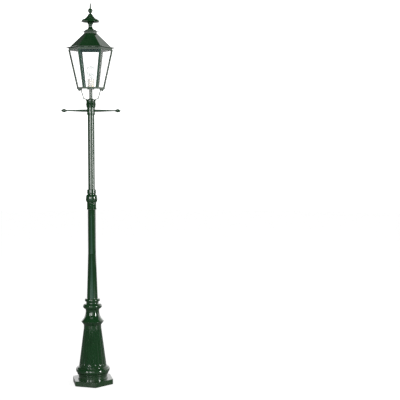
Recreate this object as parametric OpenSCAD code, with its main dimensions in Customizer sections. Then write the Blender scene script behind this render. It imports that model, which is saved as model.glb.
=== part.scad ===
// Street lamp: a six-sided glazed lantern on a turned post with a ladder bar.
// Millimetres, +Z up, ground at z = 0, front towards -Y, post on the Z axis.

/* [Plinth] */
// Radius of the hexagonal foot plate, over its corners
foot_r = 141; // [118:1:190]
// Height of the foot plate
foot_h = 33; // [30:1:60]
// Turn of the foot plate: a corner stands this far from the front, in degrees
foot_turn = 10; // [0:1:60]
// Radius of the circle that the anchor holes stand on
anchor_circle_r = 98; // [80:1:100]
// Number of anchor holes
anchor_n = 3; // [3:1:6]
// Radius of an anchor hole
anchor_r = 5.5; // [3:0.5:9]
// Depth of an anchor hole, from below
anchor_depth = 22; // [12:1:26]

/* [Pedestal] */
// Height of the round drum
drum_h = 82; // [74:1:110]
// Radius of the drum's plain wall
drum_r = 93.5; // [88:0.5:112]
// Height of the drum's foot moulding
drum_foot_h = 9; // [4:1:14]
// How far the foot moulding stands out
drum_foot_out = 4; // [1:0.5:8]
// Height of the drum's large torus
torus_h = 37; // [24:1:44]
// How far the torus stands out
torus_out = 16; // [8:1:22]
// Height of the step under the torus
torus_step_h = 7; // [3:1:10]
// How far that step stands out
torus_step_out = 7; // [3:0.5:12]
// Height of the band above the torus
drum_top_h = 6; // [4:1:12]
// Height of the fluted cone, with its top band
cone_h = 271; // [220:1:340]
// Radius of the cone at its foot
cone_low_r = 89; // [80:1:93]
// Radius of the cone at its top
cone_top_r = 56.5; // [50:0.5:70]
// Height of the plain band at the cone's top
cone_band_h = 20; // [10:1:30]
// Number of flutes
flute_n = 16; // [8:1:20]
// Radius of the round cutter that a flute is made with, at the foot
flute_low_r = 18; // [14:0.5:19]
// The same at the top
flute_top_r = 12; // [8:0.5:14]
// Depth of a flute
flute_depth = 2.6; // [1:0.2:4]
// Distance of the flutes from the cone's foot and from the band
flute_margin = 21; // [16:1:40]
// Wall of the pedestal castings
cast_wall = 8; // [5:0.5:12]

/* [Turned neck] */
// Radius of the flared rim
rim_r = 72.5; // [62:0.5:90]
// Height of the rim's underside chamfer
rim_chamfer_h = 23; // [12:1:30]
// Thickness of the rim's edge
rim_edge_h = 4; // [2:0.5:8]
// Height of the hollow sweep above the rim
sweep_h = 54; // [36:1:60]
// Radius of the waist
waist_r = 44; // [38:0.5:56]
// Height of the waist's upper taper
waist_h = 24; // [12:1:30]
// Radius where the waist meets the lower collar
waist_top_r = 46.5; // [40:0.5:58]
// Radius of the lower collar
collar_low_r = 61.5; // [54:0.5:76]
// Height of the lower collar's underside curve
collar_low_h = 21; // [14:1:30]
// Height of the lower collar's top curve
collar_low_top_h = 12; // [8:1:20]
// Radius of the collar's small shoulder
shoulder_r = 48; // [42:0.5:58]
// Radius of the neck between the collars
between_r = 41; // [36:0.5:50]
// Height of the neck between the collars
between_h = 16; // [8:1:22]
// Radius of the upper collar
collar_up_r = 49; // [44:0.5:60]
// Height of the upper collar
collar_up_h = 19; // [12:1:28]

/* [Shafts] */
// Height of the tapering sleeve
sleeve_h = 293; // [230:1:350]
// Radius at the sleeve's foot
sleeve_low_r = 35; // [31:0.5:42]
// Height of the plain lower shaft
lower_h = 288; // [240:1:370]
// How much wider the radius of the lower shaft is than that of the upper shaft
lower_more = 2.5; // [1.5:0.5:6]
// Visible height of the upper shaft
upper_h = 480.5; // [380:0.5:560]
// Radius of the upper shaft
upper_r = 22.5; // [18:0.5:27]
// Wall of the upper shaft
upper_wall = 3.2; // [2:0.1:4]
// Wall of the lower shaft
lower_wall = 3.5; // [2:0.1:4]
// Wall of the core tube
core_wall = 3; // [2:0.1:4]
// How far the core tube rises inside the upper shaft
core_reach = 120; // [60:1:240]
// How far the core tube stands above the plinth's underside
core_seat = 8; // [5:1:12]

/* [Middle knot] */
// Height of the knot's foot lip
knot_lip_h = 9; // [6:0.5:14]
// How far the lip stands out from the upper shaft
knot_lip_out = 10.5; // [8:0.5:16]
// Height of the plain band
knot_band_h = 38; // [24:1:50]
// How far the band stands out
knot_band_out = 9.3; // [7:0.1:14]
// Height of the ball
knot_ball_h = 50; // [36:1:60]
// How far the ball stands out
knot_ball_out = 16; // [12:0.5:22]
// Height of the neck above the ball
knot_neck_h = 7; // [4:0.5:12]
// How far that neck stands out
knot_neck_out = 5; // [4:0.5:8]
// Height of the thin lip under the top collar
knot_ring_h = 4; // [3:0.5:8]
// How far the thin lip stands out
knot_ring_out = 10; // [7:0.5:14]
// Height of the top collar
knot_collar_h = 22; // [14:1:30]
// How far the top collar stands out
knot_collar_out = 7.5; // [5:0.5:12]
// Depth of the seats that the shafts stand in
knot_seat = 24; // [12:1:34]

/* [Head socket] */
// Height of the socket's foot lip
socket_lip_h = 6.5; // [4:0.5:10]
// How far the foot lip stands out from the shaft
socket_lip_out = 7.5; // [5:0.5:12]
// Height of the plain barrel
barrel_h = 38.5; // [34:0.5:60]
// How far the barrel stands out
barrel_out = 4; // [3:0.5:8]
// Number of stacked rings
ring_n = 5; // [3:1:7]
// Height of one ring
ring_h = 8.5; // [6:0.5:12]
// How far the widest ring stands out
ring_out = 11; // [8:0.5:15]
// How much each ring is smaller than the one nearer the middle
ring_step = 1.5; // [0.5:0.25:2]
// How far the roots between rings stand out
root_out = 5.5; // [4:0.5:7]
// Height of the top flange
flange_h = 7; // [5:0.5:10]
// Width of the top flange outside the arms' feet
flange_margin = 3; // [1:0.5:6]
// Depth of the stem tube inside the socket, below its flange
stem_seat = 10; // [5:1:16]
// Radius of the domed cap
cap_r = 21; // [19:0.5:26]
// Height of the domed cap
cap_h = 8; // [5:0.5:12]

/* [Ladder bar] */
// Half length of the whole bar, ends included
bar_half = 190; // [150:1:240]
// Radius of the bar inside the socket
bar_r = 7.8; // [5:0.1:9.5]
// Radius of the bar where its ends are fitted
bar_tip_r = 4.4; // [3:0.1:6]
// Length of the straight middle, each side
bar_straight = 34; // [34:1:50]
// Radius of an acorn end
acorn_r = 11; // [8:0.5:14]
// Radius of the acorn's point
acorn_point_r = 1.6; // [1:0.1:3]
// Length of an acorn end
acorn_l = 34; // [27:0.5:44]
// Thickness of the acorn's collar ring
acorn_ring_h = 3.2; // [2:0.1:5]
// Radius of the acorn's collar ring
acorn_ring_r = 7.6; // [6.5:0.1:10]
// Radius of the set screw's head
set_head_r = 6; // [4:0.5:8]
// Thickness of the set screw's head
set_head_h = 4.5; // [3:0.5:7]
// Radius of the set screw's shank
set_r = 3; // [2:0.5:3.5]

/* [Stem and arms] */
// Height between the domed cap and the lantern's floor
stem_h = 60; // [44:1:90]
// Radius of the stem tube
stem_r = 11.2; // [8:0.1:14]
// Wall of the stem tube
stem_wall = 2.6; // [1.5:0.1:4]
// Radius of the stem's flange under the floor
stem_flange_r = 24; // [18:0.5:32]
// Thickness of the stem's flange
stem_flange_h = 3; // [2:0.5:5]
// Radius of an arm's rod
rod_r = 3; // [2:0.1:4.5]
// Distance of the rod's bend from the axis
arm_bend_x = 46; // [42:1:50]
// Thickness of an arm's pad
pad_h = 7; // [3:0.5:8]
// Half width of an arm's pad
pad_half = 7; // [6:0.5:10]
// Radius of an arm's foot on the socket flange
arm_foot_r = 4; // [3.5:0.1:6]
// Radius of the arm bolts
bolt_r = 3; // [2:0.5:4]
// Radius of a bolt's head and nut, over their corners
bolt_hex_r = 6.2; // [5:0.1:7]
// Height of a bolt's head
bolt_head_h = 4; // [3:0.5:6]
// Height of a nut
nut_h = 4; // [4:0.5:8]

/* [Lantern] */
// Radius of the lantern at its foot, over the corners
low_r = 90; // [86:1:110]
// Radius of the lantern at its top, over the corners
top_r = 142; // [118:1:170]
// Height of the glazed body
body_h = 234; // [195:1:300]
// Height of the bottom band
band_h = 12; // [9:0.5:18]
// Width of the bottom band, from its outside to its inside
band_w = 8; // [7:0.5:10]
// Thickness of the floor plate
floor_h = 5; // [3:0.5:6]
// Width of a corner bar's leg
leg_w = 9.2; // [8:0.1:16]
// Thickness of a corner bar
leg_t = 2; // [1:0.1:3]
// Thickness of the glass
glass_t = 3; // [2:0.5:4]
// Width of a glazing strip's leg
strip_w = 8.5; // [5:0.5:9]
// Thickness of a glazing strip
strip_t = 3.6; // [0.8:0.2:5]
// Height of the top frame
frame_h = 17; // [14:0.5:24]
// Width of the top frame's section
frame_w = 7; // [6:0.5:12]
// Height of the top frame's upper lip
frame_lip_h = 4; // [3:0.5:6]
// Height of the top frame's lower lip
frame_foot_h = 5; // [3:0.5:6]
// Depth of the recess between the lips
frame_recess = 2.6; // [1:0.1:4]

/* [Roof] */
// Radius of the roof's foot, over the corners
roof_low_r = 134; // [112:1:136]
// Radius of the roof's top
roof_top_r = 43.7; // [36:0.5:50]
// Height of the roof
roof_h = 86; // [70:1:110]
// Thickness of the roof's sheet
sheet_t = 2; // [1:0.1:3]
// How far the eave stands out past the lantern, over the corners
eave_out = 15; // [14:0.5:24]
// Thickness of the eave
eave_t = 2.4; // [1.5:0.1:3]
// Width of the eave's drooping edge, over the corners
droop_w = 6; // [4:0.5:8]
// Drop of the eave's edge
droop_h = 3; // [1:0.5:4]
// Thickness of the seal under the eave
seal_t = 1; // [0.5:0.1:2]
// Height of the hexagonal collar
hex_collar_h = 12.5; // [8:0.5:20]
// Radius of the hexagonal collar
hex_collar_r = 41; // [32:0.5:42]
// Radius of the stepped plate
plate_r = 55; // [46:0.5:70]
// Thickness of the stepped plate's edge
plate_edge_h = 3; // [2:0.5:5]
// Height of the stepped plate's slope
plate_slope_h = 5; // [3:0.5:10]
// Radius of the stepped plate's raised step
plate_step_r = 36; // [30:0.5:44]
// Height of the raised step
plate_step_h = 4; // [2:0.5:6]
// Radius of the vent through the collar and the plate
vent_r = 10; // [8:0.5:11]
// Radius of the neck's foot
neck_foot_r = 25; // [20:0.5:30]
// Height of the neck's foot ring
neck_foot_h = 3; // [2:0.5:5]
// Radius of the neck at its narrowest
neck_r = 14.25; // [12.5:0.25:18]
// Height from the foot ring to the narrowest place
neck_low_h = 23; // [16:1:34]
// Height from the narrowest place to the top rings
neck_up_h = 11; // [8:1:18]
// Radius of the neck's top ring
neck_top_r = 19; // [16:0.5:24]
// Height of one of the two top rings
neck_ring_h = 4; // [3:0.5:6]

/* [Hood and finial] */
// Radius of the hood's rim
hood_r = 59.5; // [50:0.5:74]
// Thickness of the hood's rim
hood_rim_h = 3; // [2:0.5:5]
// Height of the rim above the neck's top ring
hood_lift = 5; // [3:0.5:9]
// Height of the hood's brim
brim_h = 14.5; // [10:0.5:22]
// Radius of the hood's lower step
step_low_r = 37.5; // [32:0.5:44]
// Height of the lower step
step_low_h = 6.5; // [4:0.5:10]
// Radius of the hood's upper step
step_up_r = 28; // [24:0.5:31]
// Height of the upper step
step_up_h = 12; // [8:0.5:18]
// Radius of the bell's foot
bell_r = 18; // [14:0.5:23]
// Height of the bell
bell_h = 17; // [12:0.5:24]
// Radius of the bell's top
bell_top_r = 7; // [6.5:0.5:9]
// Thickness of the hood's casting
hood_wall = 2.2; // [1.5:0.1:3]
// Radius of the ball's ridge
ridge_r = 17.5; // [15:0.5:22]
// Thickness of the ball's ridge
ridge_h = 3; // [2:0.5:5]
// Radius of the ball
ball_r = 14.5; // [12:0.5:14.5]
// Height of the ball's taper down to the hood
ball_low_h = 17.5; // [14:0.5:24]
// Radius of the spike's foot
spike_r = 5; // [4:0.5:7]
// Radius of the spike's top
spike_top_r = 3.8; // [3:0.2:6]
// Height of the spike
spike_h = 33; // [20:1:45]
// Radius of the tie rod
tie_r = 4; // [3:0.5:5]

/* [Hinge and roof screw] */
// Half length of the hinge
hinge_half = 57; // [40:1:60]
// Number of hinge knuckles
knuckle_n = 5; // [3:2:7]
// Radius of a knuckle
knuckle_r = 3.5; // [3:0.1:4.5]
// Radius of the hinge pin
hinge_pin_r = 1.6; // [1:0.1:2]
// Thickness of the hinge leaves
leaf_t = 1.8; // [1:0.1:2]
// Height of the fixed leaf below the pin
leaf_h = 9; // [6:0.5:9]
// Radius of the roof screw
screw_r = 3; // [2:0.5:3.5]
// Half width of the latch bracket
bracket_half = 9; // [8:0.5:14]
// Thickness of the latch bracket
bracket_h = 5; // [3:0.5:6]
// Radius of the roof screw's hub
hub_r = 4.5; // [4:0.5:6]
// Height of the roof screw's hub
hub_h = 6; // [4:0.5:8]
// Length of a wing, from the axis
wing_l = 9; // [7:0.5:10]
// Thickness of a wing
wing_t = 2; // [1.5:0.1:3]
// Height of a wing
wing_h = 8; // [5:0.5:10]

/* [Lamp] */
// Radius of the bulb
bulb_r = 30.5; // [25:0.5:36]
// Thickness of the bulb's glass
bulb_t = 0.9; // [0.6:0.1:1.5]
// Radius of the bulb's neck
bulb_neck_r = 15.5; // [14.5:0.5:17]
// Height of the bulb above its holder
bulb_h = 82; // [74:1:98]
// Radius of the bulb's screw cap
cap_thread_r = 13.1; // [9:0.1:13.5]
// Height of the bulb's screw cap
cap_thread_h = 24; // [18:1:26]
// Radius of the holder's collar
holder_r = 22.8; // [22:0.2:27]
// Height of the holder's collar
holder_collar_h = 15; // [10:0.5:20]
// Height of the holder's base
holder_base_h = 46; // [42:0.5:60]
// Radius of the holder's base at its foot
holder_foot_r = 21; // [20:0.5:24]
// Radius of the holder's base at its top
holder_base_r = 22; // [21.5:0.5:25]

/* [Clearances] */
// Radial clearance of pieces that slide over one another
slip = 0.3; // [0.2:0.05:0.5]
// Radial clearance of pieces that turn on a pin
run = 0.08; // [0.05:0.01:0.1]
// Gap between pieces that move past one another
gap = 0.4; // [0.3:0.05:0.6]
// Play round the glass
glass_play = 1; // [0.6:0.1:1.5]

/* [Hidden] */
$fn = 72;
hex = 6;
cos30 = cos(30);
eps = 0.01;
big = 2000;

z_drum = foot_h;
z_cone = z_drum + drum_h;
z_neck = z_cone + cone_h;
neck_h = rim_chamfer_h + rim_edge_h + sweep_h + waist_h + collar_low_h + collar_low_top_h
    + between_h + collar_up_h;
z_sleeve = z_neck + neck_h;
z_lower = z_sleeve + sleeve_h;
z_knot = z_lower + lower_h;
knot_h = knot_lip_h + knot_band_h + knot_ball_h + knot_neck_h + knot_ring_h + knot_collar_h;
z_upper = z_knot + knot_h;
z_socket = z_upper + upper_h;
rings_h = ring_n * ring_h;
socket_h = socket_lip_h + barrel_h + rings_h + flange_h;
z_cap = z_socket + socket_h;
z_bar = z_socket + socket_lip_h + barrel_h / 2;
z_band = z_cap + cap_h + stem_h;
z_floor_top = z_band + floor_h;
z_body = z_band + band_h;
z_frame = z_body + body_h;
z_frame_top = z_frame + frame_h;
seat_gap = gap / 2;
z_eave = z_frame_top + seat_gap + seal_t;
z_roof = z_eave + eave_t;
z_roof_top = z_roof + roof_h;
z_plate = z_roof_top + hex_collar_h;
plate_h = plate_edge_h + plate_slope_h + plate_step_h;
z_vent = z_plate + plate_h;
vent_h = neck_foot_h + neck_low_h + neck_up_h + 2 * neck_ring_h;
z_spider = z_vent + vent_h;
z_hood = z_spider + hood_lift;
hood_h = hood_rim_h + brim_h + step_low_h + step_up_h + bell_h;
z_ball = z_hood + hood_h;
z_ridge = z_ball + ball_low_h;
z_spike = z_ridge + ridge_h / 2 + sqrt(ball_r * ball_r - spike_r * spike_r);
z_top = z_spike + spike_h;

lower_r = upper_r + lower_more;
core_r = upper_r - upper_wall - slip;
core_in_r = core_r - core_wall;
cable_r = core_in_r - 1;
core_bore_r = core_r + slip;
core_h = z_upper + core_reach - core_seat;

// Radii that follow from the ones above
neck_bore_r = neck_r - 3.5;
barrel_r = upper_r + barrel_out;
ring_root_r = upper_r + root_out;
foot_x = cap_r + 1 + arm_foot_r;
flange_r = foot_x + arm_foot_r + flange_margin;
band_in_r = low_r - band_w / cos30;
floor_r = band_in_r - gap;
arm_bolt_x = band_in_r - (bolt_hex_r + 2 * gap) / cos30;
arm_top_x = arm_bolt_x - bolt_hex_r - rod_r - 2;
shaft_top = z_cap - flange_h - gap;

lean = atan((top_r - low_r) * cos30 / body_h);
slope_l = body_h / cos(lean);
low_side = low_r;
top_side = top_r;
frame_in_r = top_r - frame_w / cos30;
frame_a = top_r * cos30;

eave_r = top_r + eave_out;
eave_in_r = min(frame_in_r, roof_low_r) - 4;
lip_t = 1.2;
screw_y = roof_low_r * cos30 + wing_l + 2.5;
bracket_top = z_frame_top - frame_lip_h - 1;
bracket_play = 0.7;
bracket_wall = 3;
pin_z = z_eave - leaf_t - knuckle_r - gap - 0.5;
pin_y = -(frame_a + gap / 2 + knuckle_r);
knuckle_l = 2 * hinge_half / knuckle_n;
leaf_y = max(pin_y - knuckle_r, -(eave_r - droop_w - lip_t) * cos30 + gap);

z_holder = z_floor_top;
z_holder_mid = z_holder + holder_base_h;
z_holder_top = z_holder_mid + holder_collar_h;
z_cap_top = z_holder_top - 5;
z_cap_low = z_cap_top - cap_thread_h;
thread_gap = 0.4;
shell_t = 0.8;
cup_r = cap_thread_r + thread_gap + shell_t + slip;
tip_h = 2.5;
contact_h = 3;
z_cup = z_cap_low - tip_h - contact_h - gap;
z_bulb = z_holder_top + bulb_h - bulb_r;
neck_angle = 30;
glass_foot_r = cap_thread_r - 0.9;
terminal_r = 2.6;
spot_d = 0.8;
tenon_l = 14;
tenon_r = bar_tip_r - 1;
tenon_gap = 0.1;
bolt_play = 0.1;
pane_gap = 0.2;
lean_in = atan((top_r - low_r) / 2 / slope_l);
wire_r = 0.45;
wire_gap = 0.08;
wire_x = 1.6;
stem_top_r = 2.9;
z_wire = z_cap_top + 12;
bend_swell = 0.1;
spider_h = 3;
hood_hub_r = tie_r + 4;
tie_in = 13;
tie_gap = 0.1;
spike_tenon = 8;
bridge_h = 4;
bridge_half = 6.5;
z_tie = z_roof_top - sheet_t - bridge_h - 10;
clip_drop = 1.6;
clip_h = 1.2;

// Points of an arc between two places on an outline, radius k times their distance.
// side is -1 for an arc that swells outwards and 1 for one that hollows inwards.
function arc(r0, z0, r1, z1, side, k = 0.8, n = 8) =
    let (dr = r1 - r0, dz = z1 - z0, len = norm([dr, dz]), h = len * sqrt(k * k - 1 / 4),
         cr = (r0 + r1) / 2 + side * h * dz / len, cz = (z0 + z1) / 2 - side * h * dr / len,
         a0 = atan2(z0 - cz, r0 - cr), raw = atan2(z1 - cz, r1 - cr) - a0,
         turn = side < 0 ? (raw < 0 ? raw + 360 : raw) : (raw > 0 ? raw - 360 : raw))
    [for (i = [0:n]) [cr + k * len * cos(a0 + turn * i / n), cz + k * len * sin(a0 + turn * i / n)]];

// Points of a half round that swells from radius r0 to radius r1 over a height h.
function swell(z0, h, r0, r1, n = 10) =
    [for (i = [0:n]) let (a = -90 + 180 * i / n)
        [r0 + (r1 - r0) * cos(a), z0 + h / 2 + h / 2 * sin(a)]];

// A turned solid from its outline, given from the foot to the top.
module turned(outline)
    rotate_extrude() polygon(concat([[0, outline[0][1]]], outline,
        [[0, outline[len(outline) - 1][1]]]));

module rod_z(z0, z1, r) translate([0, 0, z0]) cylinder(h = z1 - z0, r = r);

module hex_z(z0, z1, r) translate([0, 0, z0]) cylinder(h = z1 - z0, r = r, $fn = hex);

module hex_cone(z0, z1, r0, r1) translate([0, 0, z0]) cylinder(h = z1 - z0, r1 = r0, r2 = r1, $fn = hex);

// A round rod between two points of the XZ plane.
module rod_between(p, q, r) {
    d = q - p;
    translate([p[0], 0, p[1]]) rotate([0, atan2(d[0], d[1]), 0]) cylinder(h = norm(d), r = r);
}

// A round cutter along Z that tapers from r0 to r1, with rounded ends beyond both.
module spindle(l, r0, r1, n = 4) turned(concat(
    [for (i = [1:n]) let (a = -90 + 90 * i / n) [r0 * cos(a), r0 * sin(a)]],
    [for (i = [0:n - 1]) let (a = 90 * i / n) [r1 * cos(a), l + r1 * sin(a)]], [[0, l + r1]]));

// Places its children on a side of the glazed body: X along the side, Y up the slope, Z outwards.
module on_side(k)
    rotate([0, 0, 360 / hex * k]) translate([0, -low_r * cos30, z_body]) rotate([90 + lean, 0, 0])
        children();

// ---- post ----

module foot_plate() color("darkslategray") difference() {
    rotate([0, 0, foot_turn - 90]) hex_z(0, foot_h, foot_r);
    rod_z(-1, foot_h + 1, cable_r);
    rod_z(core_seat, foot_h + 1, core_bore_r);
    for (i = [0:anchor_n - 1]) rotate([0, 0, 360 / anchor_n * i + 90])
        translate([anchor_circle_r, 0, 0]) rod_z(-1, anchor_depth, anchor_r);
}

module base_drum() {
    z_torus = z_cone - drum_top_h - torus_h;
    z_step = z_torus - torus_step_h;
    foot_top_r = drum_r + drum_foot_out;
    color("darkslategray") difference() {
        turned(concat([[foot_top_r, z_drum]],
            arc(foot_top_r, z_drum + drum_foot_h / 2, drum_r, z_drum + drum_foot_h, -1),
            arc(drum_r, z_step - torus_step_h, drum_r + torus_step_out, z_step, 1),
            [[drum_r + torus_step_out, z_torus]],
            swell(z_torus, torus_h, drum_r + 2, drum_r + torus_out, 14),
            arc(drum_r + 2, z_cone - drum_top_h, cone_low_r + 2, z_cone, 1)));
        rod_z(z_drum - 1, z_cone - cast_wall, drum_r - cast_wall);
        rod_z(z_cone - cast_wall - 1, z_cone + 1, core_bore_r);
    }
}

module fluted_cone() {
    z_flute = z_neck - cone_band_h;
    fall = (cone_low_r - cone_top_r) / (z_flute - z_cone);
    n = [cos(atan(fall)), sin(atan(fall))];
    z0 = z_cone + flute_margin;
    z1 = z_flute - flute_margin / 2;
    p0 = [cone_low_r - fall * (z0 - z_cone), z0] + n * (flute_low_r - flute_depth);
    p1 = [cone_low_r - fall * (z1 - z_cone), z1] + n * (flute_top_r - flute_depth);
    in_low_r = cone_low_r - cast_wall - flute_depth;
    in_top_r = cone_top_r - cast_wall - flute_depth;
    color("darkslategray") difference() {
        turned([[cone_low_r, z_cone], [cone_top_r, z_flute], [cone_top_r, z_neck]]);
        translate([0, 0, z_cone - eps])
            cylinder(h = cone_h - cast_wall, r1 = in_low_r, r2 = in_top_r);
        rod_z(z_neck - cast_wall - 1, z_neck + 1, core_bore_r);
        for (i = [0:flute_n - 1]) rotate([0, 0, 360 / flute_n * (i + 0.5)])
            translate([p0[0], 0, p0[1]]) rotate([0, atan2(p1[0] - p0[0], p1[1] - p0[1]), 0])
                spindle(norm(p1 - p0), flute_low_r, flute_top_r);
    }
}

module pedestal_neck() {
    z1 = z_neck + rim_chamfer_h;
    z2 = z1 + rim_edge_h;
    z3 = z2 + sweep_h;
    z4 = z3 + waist_h;
    z5 = z4 + collar_low_h;
    z6 = z5 + collar_low_top_h;
    z7 = z6 + between_h;
    color("darkslategray") difference() {
        turned(concat([[cone_top_r, z_neck], [rim_r, z1], [rim_r, z2]],
            arc(rim_r - 2, z2, waist_r, z3, 1, 1.5, 12),
            arc(waist_r, z3, waist_top_r, z4, 1, 1.6, 4),
            arc(waist_top_r, z4, collar_low_r, z5, -1),
            arc(collar_low_r - 1, z5, shoulder_r, z6, -1),
            arc(between_r + 2, z6, between_r, z7, 1, 0.9),
            swell(z7, collar_up_h, collar_up_r - 5, collar_up_r)));
        translate([0, 0, z_neck - eps])
            cylinder(h = neck_h - cast_wall - collar_up_h, r1 = waist_r - cast_wall + 2,
                r2 = between_r - cast_wall);
        rod_z(z_neck, z_sleeve + 1, core_bore_r);
    }
}

module flared_sleeve() color("darkslategray") difference() {
    turned([[sleeve_low_r, z_sleeve], [lower_r + slip, z_lower]]);
    rod_z(z_sleeve - 1, z_lower + 1, core_bore_r);
}

module core_tube() color("dimgray") difference() {
    rod_z(core_seat, core_seat + core_h, core_r);
    rod_z(0, z_top, core_in_r);
}

module lower_shaft() color("darkslategray") difference() {
    rod_z(z_lower, z_knot + knot_seat, lower_r);
    rod_z(z_lower - 1, z_upper, lower_r - lower_wall);
}

module middle_knot() {
    z1 = z_knot + knot_lip_h;
    z2 = z1 + knot_band_h;
    z3 = z2 + knot_ball_h;
    z4 = z3 + knot_neck_h;
    z5 = z4 + knot_ring_h;
    band_r = upper_r + knot_band_out;
    collar_r = upper_r + knot_collar_out;
    color("darkslategray") difference() {
        turned(concat(swell(z_knot, knot_lip_h, upper_r + knot_lip_out - 4, upper_r + knot_lip_out),
            [[band_r, z1], [band_r, z2]],
            swell(z2, knot_ball_h, band_r - 2, upper_r + knot_ball_out, 16),
            [[upper_r + knot_neck_out, z3], [upper_r + knot_neck_out, z4]],
            swell(z4, knot_ring_h, upper_r + knot_ring_out - 2, upper_r + knot_ring_out, 6),
            [[collar_r, z5], [collar_r, z_upper - 2], [collar_r - 2, z_upper]]));
        rod_z(z_knot - 1, z_knot + knot_seat + gap, lower_r + slip);
        rod_z(z_knot, z_upper, core_bore_r);
        rod_z(z_upper - knot_seat - gap, z_upper + 1, upper_r + slip);
    }
}

module upper_shaft() color("darkslategray") difference() {
    rod_z(z_upper - knot_seat, shaft_top, upper_r);
    rod_z(z_knot, z_cap, upper_r - upper_wall);
    translate([-upper_r - 1, 0, z_bar]) rotate([0, 90, 0]) cylinder(h = 2 * upper_r + 2, r = bar_r + slip);
    translate([0, 0, z_bar]) rotate([90, 0, 0]) cylinder(h = upper_r + 1, r = set_r + slip);
}

module head_socket() {
    z1 = z_socket + socket_lip_h;
    z2 = z1 + barrel_h;
    z3 = z2 + rings_h;
    lip_r = upper_r + socket_lip_out;
    mid = (ring_n - 1) / 2;
    color("darkslategray") difference() {
        turned(concat(swell(z_socket, socket_lip_h, lip_r - 2.5, lip_r, 8),
            [[barrel_r, z1], [barrel_r, z2]],
            [for (i = [0:ring_n - 1], p = swell(z2 + i * ring_h, ring_h, ring_root_r,
                upper_r + ring_out - ring_step * abs(i - mid), 8)) p],
            [[flange_r - 1, z3], [flange_r, z3 + 1], [flange_r, z_cap - 1], [flange_r - 1, z_cap]]));
        rod_z(z_socket - 1, z_cap - flange_h, upper_r + slip);
        rod_z(z_socket, z_cap + 1, stem_r + slip);
        translate([-barrel_r - 1, 0, z_bar]) rotate([0, 90, 0])
            cylinder(h = 2 * barrel_r + 2, r = bar_r + slip);
        translate([0, 0, z_bar]) rotate([90, 0, 0]) cylinder(h = barrel_r + 1, r = set_r + slip);
        translate([0, -barrel_r + spot_d, z_bar]) rotate([90, 0, 0])
            cylinder(h = spot_d + 1, r = set_head_r + gap);
    }
}

module socket_cap() color("darkslategray") difference() {
    turned(concat([[cap_r, z_cap], [cap_r, z_cap + 1]],
        arc(cap_r, z_cap + 1, stem_r + 1.5, z_cap + cap_h, -1, 0.8)));
    rod_z(z_cap - 1, z_cap + cap_h + 1, stem_r + slip);
}

module ladder_bar() {
    shoulder = bar_half - acorn_l;
    tip = shoulder + tenon_l;
    color("darkslategray") translate([0, 0, z_bar]) rotate([0, 90, 0]) turned([
        [tenon_r, -tip], [tenon_r, -shoulder], [bar_tip_r, -shoulder], [bar_r, -bar_straight],
        [bar_r, bar_straight], [bar_tip_r, shoulder], [tenon_r, shoulder], [tenon_r, tip]]);
}

module bar_end(side) color("darkslategray")
    translate([side * (bar_half - acorn_l), 0, z_bar]) rotate([0, side * 90, 0]) difference() {
        turned(concat(swell(0, acorn_ring_h, acorn_ring_r - 1.5, acorn_ring_r, 6),
            [[bar_tip_r + 1, acorn_ring_h]],
            arc(bar_tip_r + 1, acorn_ring_h + 1, acorn_r, acorn_l * 0.4, -1, 0.75),
            arc(acorn_r, acorn_l * 0.45, acorn_point_r, acorn_l, -1, 1.1, 10)));
        rod_z(-1, tenon_l + 1, tenon_r + tenon_gap);
    }

module bar_set_screw() color("darkslategray") translate([0, 0, z_bar]) rotate([90, 0, 0]) difference() {
    union() {
        rod_z(bar_r + gap / 2, barrel_r, set_r);
        rod_z(barrel_r - spot_d, barrel_r - spot_d + set_head_h, set_head_r);
    }
    hex_z(barrel_r - spot_d + set_head_h / 2, barrel_r + set_head_h, set_head_r / 2);
}

module stem_tube() color("darkslategray") difference() {
    union() {
        rod_z(z_cap - flange_h - stem_seat, z_band, stem_r);
        rod_z(z_band - stem_flange_h, z_band, stem_flange_r);
    }
    rod_z(z_socket, z_band + 1, stem_r - stem_wall);
}

module arm() {
    top = [arm_top_x, z_band - pad_h + rod_r / 3];
    bend = [arm_bend_x, z_cap + 2 * rod_r + 2];
    foot = [foot_x, z_cap + rod_r + 1];
    difference() {
        translate([arm_top_x - rod_r - 3, -pad_half, z_band - pad_h])
            cube([arm_bolt_x + bolt_hex_r + 4 - (arm_top_x - rod_r - 3), 2 * pad_half, pad_h]);
        translate([arm_bolt_x, 0, 0]) rod_z(z_cap, z_body, bolt_r + slip);
    }
    rod_between(bend, top, rod_r);
    translate([bend[0], 0, bend[1]]) sphere(rod_r + bend_swell);
    rod_between(foot, bend, rod_r);
    translate([foot_x, 0, 0]) rod_z(z_cap, foot[1] + rod_r, arm_foot_r);
}

module arm_left() color("darkslategray") mirror([1, 0, 0]) arm();

module arm_right() color("darkslategray") arm();

module arm_bolts() color("gray") for (side = [-1, 1]) translate([side * arm_bolt_x, 0, 0]) {
    rod_z(z_band - pad_h - nut_h - 2, z_floor_top + bolt_head_h / 2, bolt_r);
    rotate([0, 0, 30]) hex_z(z_floor_top, z_floor_top + bolt_head_h, bolt_hex_r);
}

module arm_nuts() color("gray") for (side = [-1, 1]) translate([side * arm_bolt_x, 0, 0]) difference() {
    hex_z(z_band - pad_h - nut_h, z_band - pad_h, bolt_hex_r);
    rod_z(z_cap, z_band, bolt_r + bolt_play);
}

// ---- lantern ----

module bottom_ring() color("darkslategray") difference() {
    hex_z(z_band, z_body, low_r);
    hex_z(z_band - 1, z_body + 1, band_in_r);
}

module floor_plate() color("darkslategray") difference() {
    hex_z(z_band, z_floor_top, floor_r);
    rod_z(z_band - 1, z_body, stem_r - stem_wall);
    for (side = [-1, 1]) translate([side * arm_bolt_x, 0, 0]) rod_z(z_band - 1, z_body, bolt_r + slip);
}

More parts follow.
